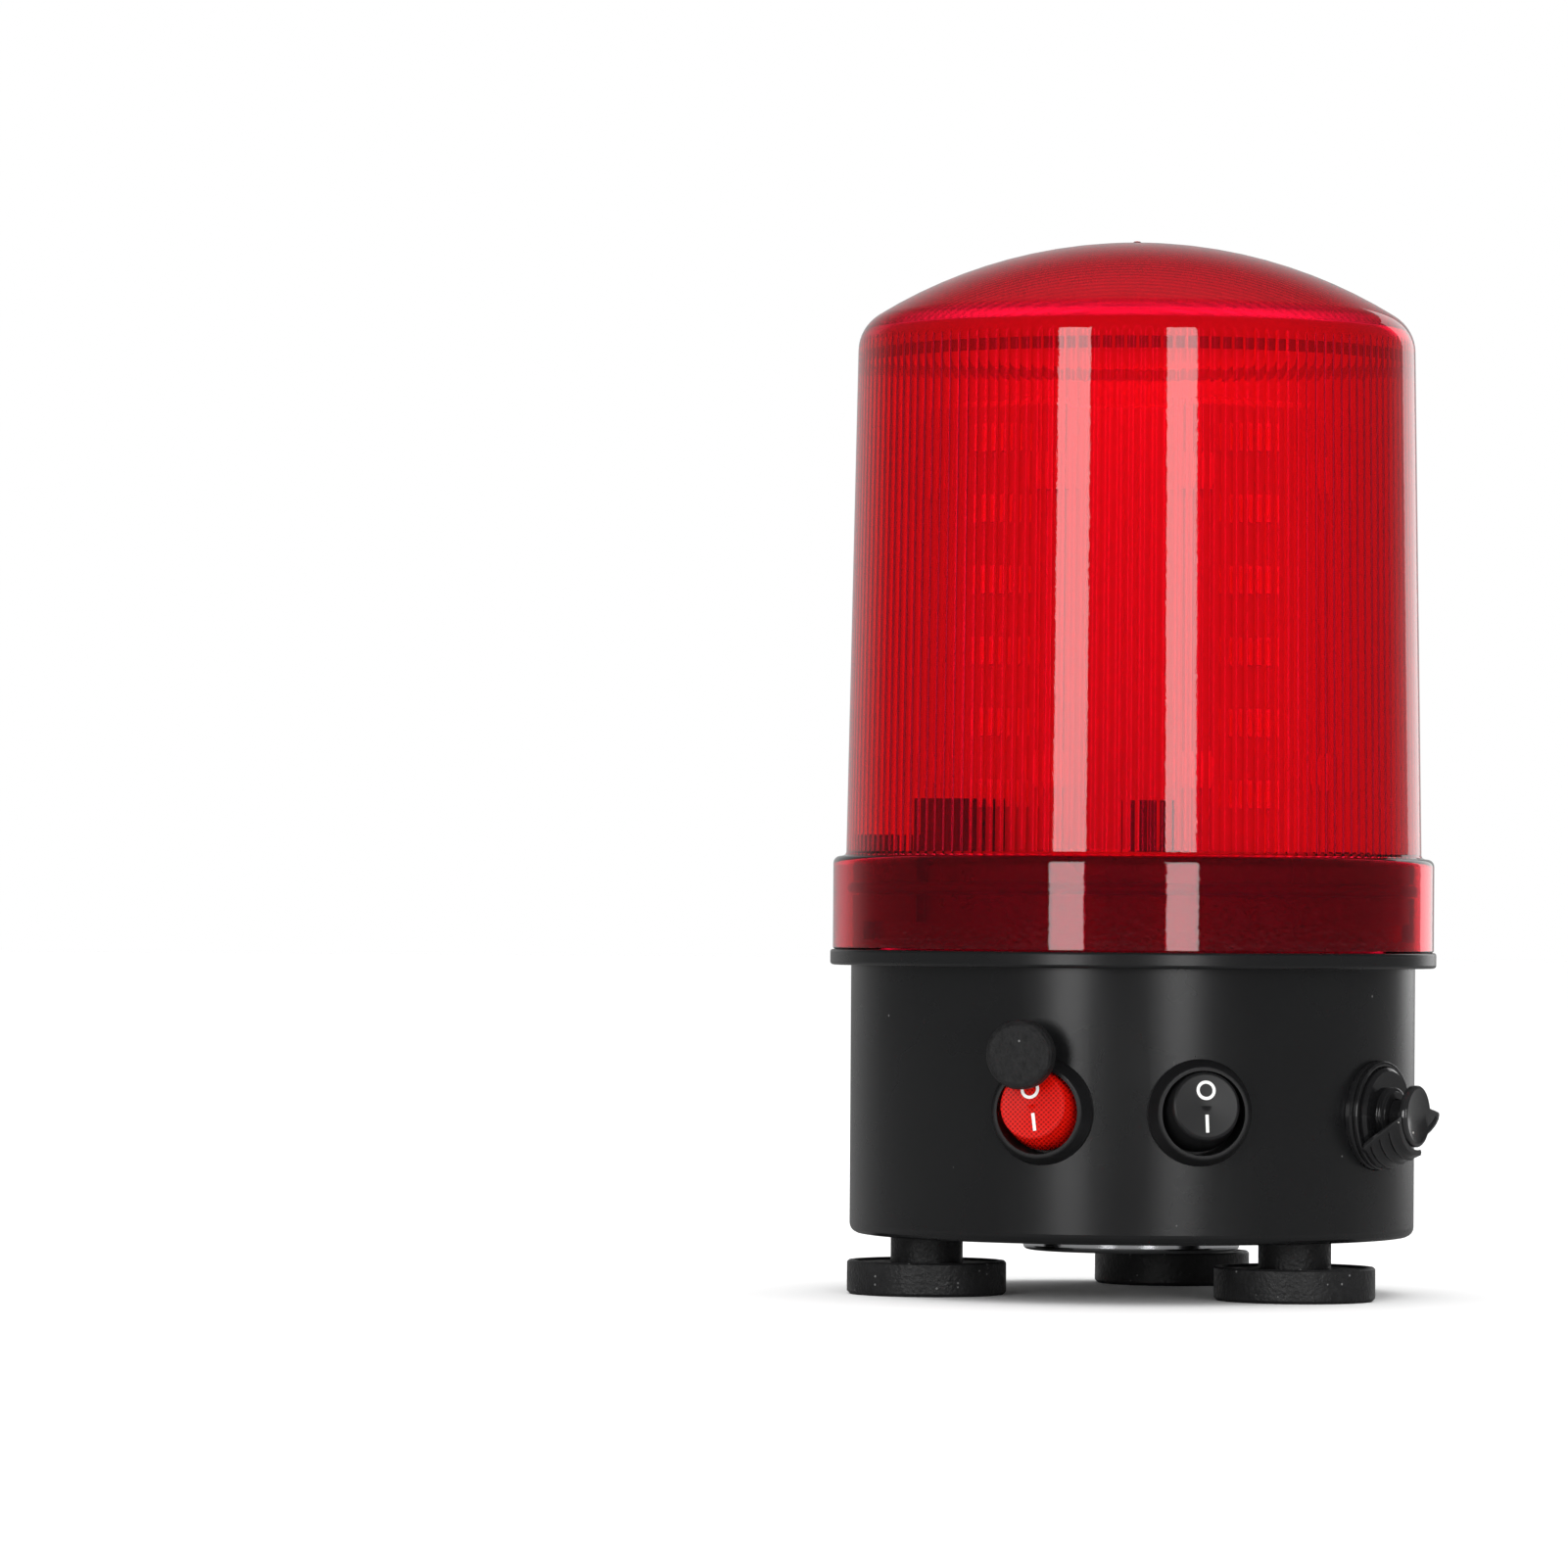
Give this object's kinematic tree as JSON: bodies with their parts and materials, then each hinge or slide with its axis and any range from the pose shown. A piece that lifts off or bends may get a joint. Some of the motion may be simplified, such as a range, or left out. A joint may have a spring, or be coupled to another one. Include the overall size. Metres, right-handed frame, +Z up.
{
  "type": "alarm siren",
  "caption": "Rechargeable beacon siren: red fluted dome over upright LED boards, black base with rocker switches, knob, charging inlet and round magnetic feet.",
  "frame": {"origin": "on the surface the three feet stand on, under the centre line of the dome", "axes": "+Z up along the dome; -Y is the front, midway between the two rocker switches"},
  "size_m": [0.0988, 0.1018, 0.1698],
  "materials": {
    "black_plastic": "satin, fine moulded texture",
    "foot_rubber": "mottled soft rubber coating",
    "magnet_steel": "nickel plated",
    "zinc_steel": "zinc plated",
    "bright_rim": "polished rim",
    "dark_steel": "black lacquer",
    "cone_film": "stiff film",
    "speaker_steel": "pressed steel",
    "switch_black": "semi-gloss",
    "red_rocker": "translucent red",
    "black_rocker": "semi-gloss",
    "white_mark": "printed",
    "tinned_brass": "tinned",
    "knob_black": "grainy",
    "blue_plastic": "moulded",
    "jack_black": "moulded",
    "cap_rubber": "soft rubber",
    "cell_wrap": "shrink wrap",
    "holder_black": "moulded",
    "nickel": "nickel strip",
    "green_board": "solder mask",
    "chip_black": "epoxy",
    "deck_black": "moulded",
    "white_board": "white solder mask",
    "capacitor_sleeve": "sleeved",
    "white_plastic": "white moulded",
    "led_board_white": "white solder mask",
    "led_package": "white package",
    "phosphor": "yellow phosphor",
    "seal_rubber": "seal",
    "red_wire": "insulation",
    "yellow_wire": "insulation",
    "black_wire": "insulation",
    "red_lens": "transparent red, polished outside"
  },
  "bodies": {
    "base": {"base_housing": "black_plastic", "foot_front_right": "foot_rubber", "foot_front_left": "foot_rubber", "foot_rear": "foot_rubber", "foot_magnets": "magnet_steel", "foot_studs": "zinc_steel", "foot_nuts": "zinc_steel", "siren_rim": "bright_rim", "siren_grille": "dark_steel", "siren_cone": "cone_film", "siren_frame": "speaker_steel", "siren_magnet": "dark_steel", "siren_screws": "zinc_steel", "red_switch_housing": "switch_black", "black_switch_housing": "switch_black", "switch_terminals": "tinned_brass", "potentiometer": "blue_plastic", "jack_body": "jack_black", "jack_pin": "tinned_brass", "jack_nut": "zinc_steel", "jack_terminals": "tinned_brass", "jack_strap": "cap_rubber", "cell_front": "cell_wrap", "cell_rear": "cell_wrap", "cell_holder": "holder_black", "cell_contacts": "nickel", "charge_board": "green_board", "charge_parts": "chip_black", "deck": "deck_black", "deck_screws": "zinc_steel", "driver_board": "white_board", "driver_capacitors": "capacitor_sleeve", "driver_chips": "chip_black", "led_carrier": "white_plastic", "led_board_front_right": "led_board_white", "led_board_front_left": "led_board_white", "led_board_rear_right": "led_board_white", "led_board_rear_left": "led_board_white", "leds": "led_package", "led_phosphor": "phosphor", "seal_ring": "seal_rubber", "battery_wires": "red_wire", "speaker_wires": "yellow_wire", "light_wires": "black_wire"},
    "lens": {"lens": "red_lens"},
    "red_rocker": {"red_rocker": "red_rocker", "red_rocker_marks": "white_mark"},
    "black_rocker": {"black_rocker": "black_rocker", "black_rocker_marks": "white_mark"},
    "knob": {"knob": "knob_black"},
    "jack_cap": {"jack_cap": "cap_rubber"}
  },
  "joints": [
    {"name": "lens_twist", "type": "hinge", "parent": "base", "child": "lens", "pos_m": [0, 0, 0.064], "axis": [0, 0, 1], "range_deg": [0, 20]},
    {"name": "red_rocker_tilt", "type": "hinge", "parent": "base", "child": "red_rocker", "pos_m": [-0.01165, -0.04118, 0.0302], "axis": [0.9445, -0.2673, 0.1908], "range_deg": [0, 20]},
    {"name": "black_rocker_tilt", "type": "hinge", "parent": "base", "child": "black_rocker", "pos_m": [0.01165, -0.04118, 0.0302], "axis": [0.9622, 0.2723, 0], "range_deg": [0, 20]},
    {"name": "knob_turn", "type": "hinge", "parent": "base", "child": "knob", "pos_m": [-0.01478, -0.04776, 0.0392], "axis": [-0.2957, -0.9553, 0], "range_deg": [-135, 135]},
    {"name": "jack_cap_pull", "type": "slide", "parent": "base", "child": "jack_cap", "axis": [0.8704, -0.4924, 0], "range_m": [-0.0015, 0.009]}
  ]
}
